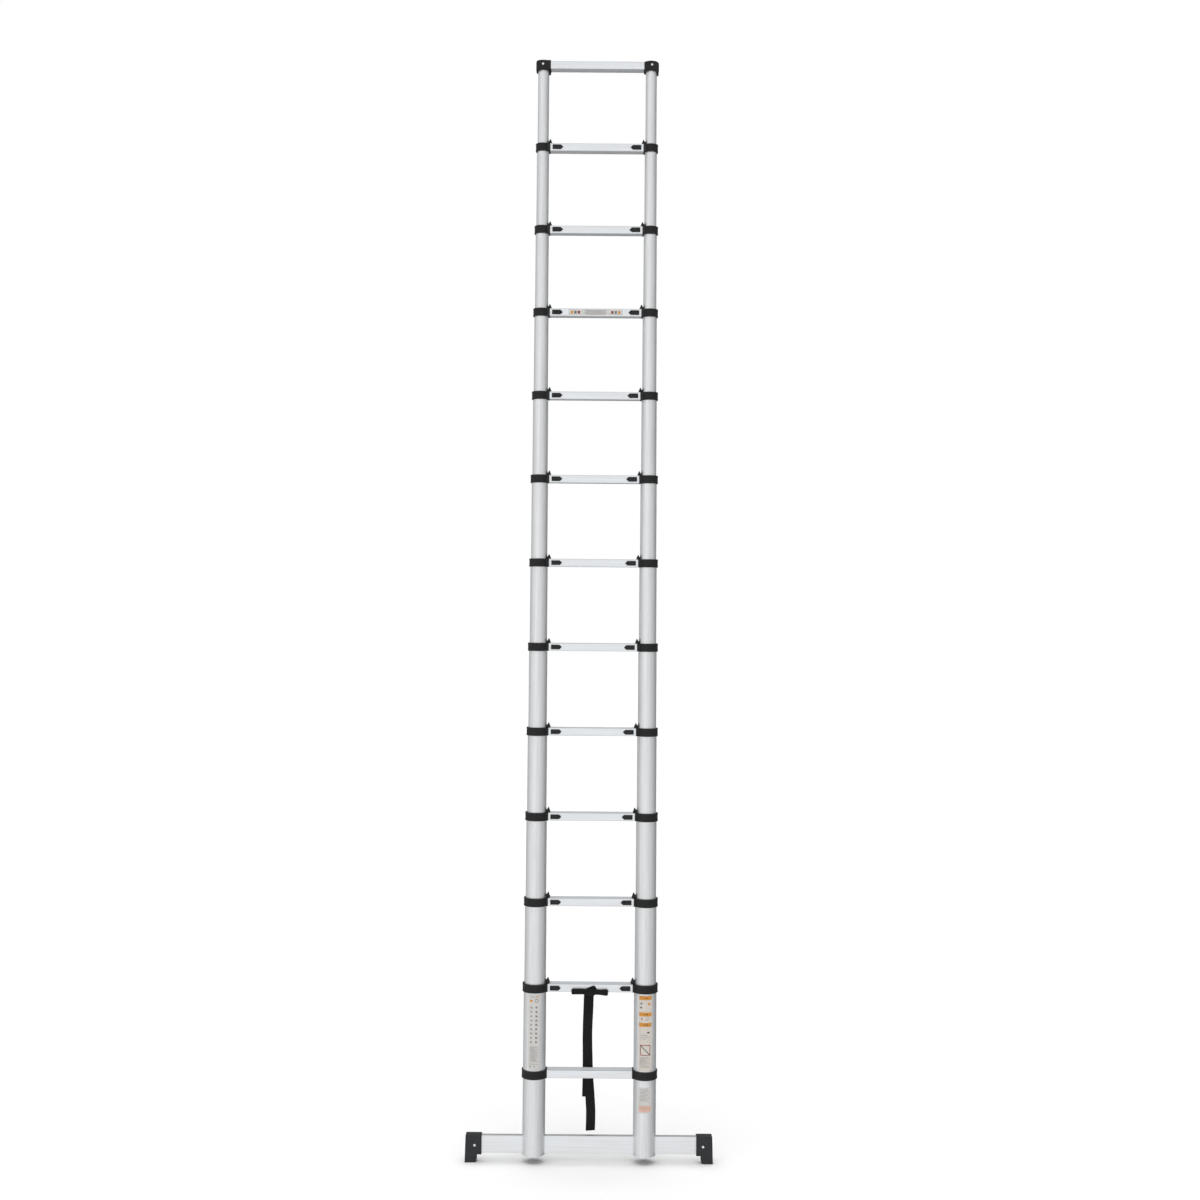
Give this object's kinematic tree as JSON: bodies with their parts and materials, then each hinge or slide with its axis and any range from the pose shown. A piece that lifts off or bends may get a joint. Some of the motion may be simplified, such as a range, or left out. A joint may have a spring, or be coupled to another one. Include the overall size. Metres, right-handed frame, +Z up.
{
  "type": "telescoping ladder",
  "caption": "Telescoping ladder of nested aluminium tubes with sprung thumb locks in its rungs, plastic collars, a wide stabiliser bar at the foot and a carrying strap.",
  "frame": {"origin": "on the floor, midway between the two feet", "axes": "+Z up the ladder, X along the rungs with the left stile at -X, the front with the thumb locks faces -Y"},
  "size_m": [0.844, 0.086, 3.7965],
  "materials": {
    "tube": "satin anodised aluminium tube",
    "rung": "brushed extruded aluminium with a ribbed tread",
    "bar": "brushed extruded aluminium",
    "collar": "black moulded plastic",
    "lock": "dark slate moulded plastic",
    "foot": "dark grey moulded rubber",
    "webbing": "black woven webbing"
  },
  "bodies": {
    "base": {"base_frame": "tube", "stabiliser_bar": "bar", "foot_left": "foot", "foot_right": "foot", "carry_strap": "webbing"},
    "stage_03": {"stile_left_03": "tube", "stile_right_03": "tube", "rung_03": "rung"},
    "stage_04": {"stile_left_04": "tube", "stile_right_04": "tube", "rung_04": "rung"},
    "stage_05": {"stile_left_05": "tube", "stile_right_05": "tube", "rung_05": "rung"},
    "stage_06": {"stile_left_06": "tube", "stile_right_06": "tube", "rung_06": "rung"},
    "stage_07": {"stile_left_07": "tube", "stile_right_07": "tube", "rung_07": "rung"},
    "stage_08": {"stile_left_08": "tube", "stile_right_08": "tube", "rung_08": "rung"},
    "stage_09": {"stile_left_09": "tube", "stile_right_09": "tube", "rung_09": "rung"},
    "stage_10": {"stile_left_10": "tube", "stile_right_10": "tube", "rung_10": "rung"},
    "stage_11": {"stile_left_11": "tube", "stile_right_11": "tube", "rung_11": "rung"},
    "stage_12": {"stile_left_12": "tube", "stile_right_12": "tube", "rung_12": "rung"},
    "stage_13": {"top_frame": "tube", "cap_left": "collar", "cap_right": "collar"},
    "thumb_lock_left_02": {"lock_left_02": "lock"},
    "thumb_lock_right_02": {"lock_right_02": "lock"},
    "thumb_lock_left_03": {"lock_left_03": "lock"},
    "thumb_lock_right_03": {"lock_right_03": "lock"},
    "thumb_lock_left_04": {"lock_left_04": "lock"},
    "thumb_lock_right_04": {"lock_right_04": "lock"},
    "thumb_lock_left_05": {"lock_left_05": "lock"},
    "thumb_lock_right_05": {"lock_right_05": "lock"},
    "thumb_lock_left_06": {"lock_left_06": "lock"},
    "thumb_lock_right_06": {"lock_right_06": "lock"},
    "thumb_lock_left_07": {"lock_left_07": "lock"},
    "thumb_lock_right_07": {"lock_right_07": "lock"},
    "thumb_lock_left_08": {"lock_left_08": "lock"},
    "thumb_lock_right_08": {"lock_right_08": "lock"},
    "thumb_lock_left_09": {"lock_left_09": "lock"},
    "thumb_lock_right_09": {"lock_right_09": "lock"},
    "thumb_lock_left_10": {"lock_left_10": "lock"},
    "thumb_lock_right_10": {"lock_right_10": "lock"},
    "thumb_lock_left_11": {"lock_left_11": "lock"},
    "thumb_lock_right_11": {"lock_right_11": "lock"},
    "thumb_lock_left_12": {"lock_left_12": "lock"},
    "thumb_lock_right_12": {"lock_right_12": "lock"}
  },
  "joints": [
    {"name": "slide_03", "type": "slide", "parent": "base", "child": "stage_03", "axis": [0, 0, 1], "range_m": [-0.246, 0]},
    {"name": "slide_04", "type": "slide", "parent": "stage_03", "child": "stage_04", "axis": [0, 0, 1], "range_m": [-0.246, 0]},
    {"name": "slide_05", "type": "slide", "parent": "stage_04", "child": "stage_05", "axis": [0, 0, 1], "range_m": [-0.246, 0]},
    {"name": "slide_06", "type": "slide", "parent": "stage_05", "child": "stage_06", "axis": [0, 0, 1], "range_m": [-0.246, 0]},
    {"name": "slide_07", "type": "slide", "parent": "stage_06", "child": "stage_07", "axis": [0, 0, 1], "range_m": [-0.246, 0]},
    {"name": "slide_08", "type": "slide", "parent": "stage_07", "child": "stage_08", "axis": [0, 0, 1], "range_m": [-0.246, 0]},
    {"name": "slide_09", "type": "slide", "parent": "stage_08", "child": "stage_09", "axis": [0, 0, 1], "range_m": [-0.246, 0]},
    {"name": "slide_10", "type": "slide", "parent": "stage_09", "child": "stage_10", "axis": [0, 0, 1], "range_m": [-0.246, 0]},
    {"name": "slide_11", "type": "slide", "parent": "stage_10", "child": "stage_11", "axis": [0, 0, 1], "range_m": [-0.246, 0]},
    {"name": "slide_12", "type": "slide", "parent": "stage_11", "child": "stage_12", "axis": [0, 0, 1], "range_m": [-0.246, 0]},
    {"name": "slide_13", "type": "slide", "parent": "stage_12", "child": "stage_13", "axis": [0, 0, 1], "range_m": [-0.23, 0]},
    {"name": "lock_left_02", "type": "slide", "parent": "base", "child": "thumb_lock_left_02", "axis": [1, 0, 0], "range_m": [0, 0.012], "stiffness_N_per_m": 200, "springref_m": -0.02},
    {"name": "lock_right_02", "type": "slide", "parent": "base", "child": "thumb_lock_right_02", "axis": [-1, 0, 0], "range_m": [0, 0.012], "stiffness_N_per_m": 200, "springref_m": -0.02},
    {"name": "lock_left_03", "type": "slide", "parent": "stage_03", "child": "thumb_lock_left_03", "axis": [1, 0, 0], "range_m": [0, 0.012], "stiffness_N_per_m": 200, "springref_m": -0.02},
    {"name": "lock_right_03", "type": "slide", "parent": "stage_03", "child": "thumb_lock_right_03", "axis": [-1, 0, 0], "range_m": [0, 0.012], "stiffness_N_per_m": 200, "springref_m": -0.02},
    {"name": "lock_left_04", "type": "slide", "parent": "stage_04", "child": "thumb_lock_left_04", "axis": [1, 0, 0], "range_m": [0, 0.012], "stiffness_N_per_m": 200, "springref_m": -0.02},
    {"name": "lock_right_04", "type": "slide", "parent": "stage_04", "child": "thumb_lock_right_04", "axis": [-1, 0, 0], "range_m": [0, 0.012], "stiffness_N_per_m": 200, "springref_m": -0.02},
    {"name": "lock_left_05", "type": "slide", "parent": "stage_05", "child": "thumb_lock_left_05", "axis": [1, 0, 0], "range_m": [0, 0.012], "stiffness_N_per_m": 200, "springref_m": -0.02},
    {"name": "lock_right_05", "type": "slide", "parent": "stage_05", "child": "thumb_lock_right_05", "axis": [-1, 0, 0], "range_m": [0, 0.012], "stiffness_N_per_m": 200, "springref_m": -0.02},
    {"name": "lock_left_06", "type": "slide", "parent": "stage_06", "child": "thumb_lock_left_06", "axis": [1, 0, 0], "range_m": [0, 0.012], "stiffness_N_per_m": 200, "springref_m": -0.02},
    {"name": "lock_right_06", "type": "slide", "parent": "stage_06", "child": "thumb_lock_right_06", "axis": [-1, 0, 0], "range_m": [0, 0.012], "stiffness_N_per_m": 200, "springref_m": -0.02},
    {"name": "lock_left_07", "type": "slide", "parent": "stage_07", "child": "thumb_lock_left_07", "axis": [1, 0, 0], "range_m": [0, 0.012], "stiffness_N_per_m": 200, "springref_m": -0.02},
    {"name": "lock_right_07", "type": "slide", "parent": "stage_07", "child": "thumb_lock_right_07", "axis": [-1, 0, 0], "range_m": [0, 0.012], "stiffness_N_per_m": 200, "springref_m": -0.02},
    {"name": "lock_left_08", "type": "slide", "parent": "stage_08", "child": "thumb_lock_left_08", "axis": [1, 0, 0], "range_m": [0, 0.012], "stiffness_N_per_m": 200, "springref_m": -0.02},
    {"name": "lock_right_08", "type": "slide", "parent": "stage_08", "child": "thumb_lock_right_08", "axis": [-1, 0, 0], "range_m": [0, 0.012], "stiffness_N_per_m": 200, "springref_m": -0.02},
    {"name": "lock_left_09", "type": "slide", "parent": "stage_09", "child": "thumb_lock_left_09", "axis": [1, 0, 0], "range_m": [0, 0.012], "stiffness_N_per_m": 200, "springref_m": -0.02},
    {"name": "lock_right_09", "type": "slide", "parent": "stage_09", "child": "thumb_lock_right_09", "axis": [-1, 0, 0], "range_m": [0, 0.012], "stiffness_N_per_m": 200, "springref_m": -0.02},
    {"name": "lock_left_10", "type": "slide", "parent": "stage_10", "child": "thumb_lock_left_10", "axis": [1, 0, 0], "range_m": [0, 0.012], "stiffness_N_per_m": 200, "springref_m": -0.02},
    {"name": "lock_right_10", "type": "slide", "parent": "stage_10", "child": "thumb_lock_right_10", "axis": [-1, 0, 0], "range_m": [0, 0.012], "stiffness_N_per_m": 200, "springref_m": -0.02},
    {"name": "lock_left_11", "type": "slide", "parent": "stage_11", "child": "thumb_lock_left_11", "axis": [1, 0, 0], "range_m": [0, 0.012], "stiffness_N_per_m": 200, "springref_m": -0.02},
    {"name": "lock_right_11", "type": "slide", "parent": "stage_11", "child": "thumb_lock_right_11", "axis": [-1, 0, 0], "range_m": [0, 0.012], "stiffness_N_per_m": 200, "springref_m": -0.02},
    {"name": "lock_left_12", "type": "slide", "parent": "stage_12", "child": "thumb_lock_left_12", "axis": [1, 0, 0], "range_m": [0, 0.012], "stiffness_N_per_m": 200, "springref_m": -0.02},
    {"name": "lock_right_12", "type": "slide", "parent": "stage_12", "child": "thumb_lock_right_12", "axis": [-1, 0, 0], "range_m": [0, 0.012], "stiffness_N_per_m": 200, "springref_m": -0.02}
  ]
}
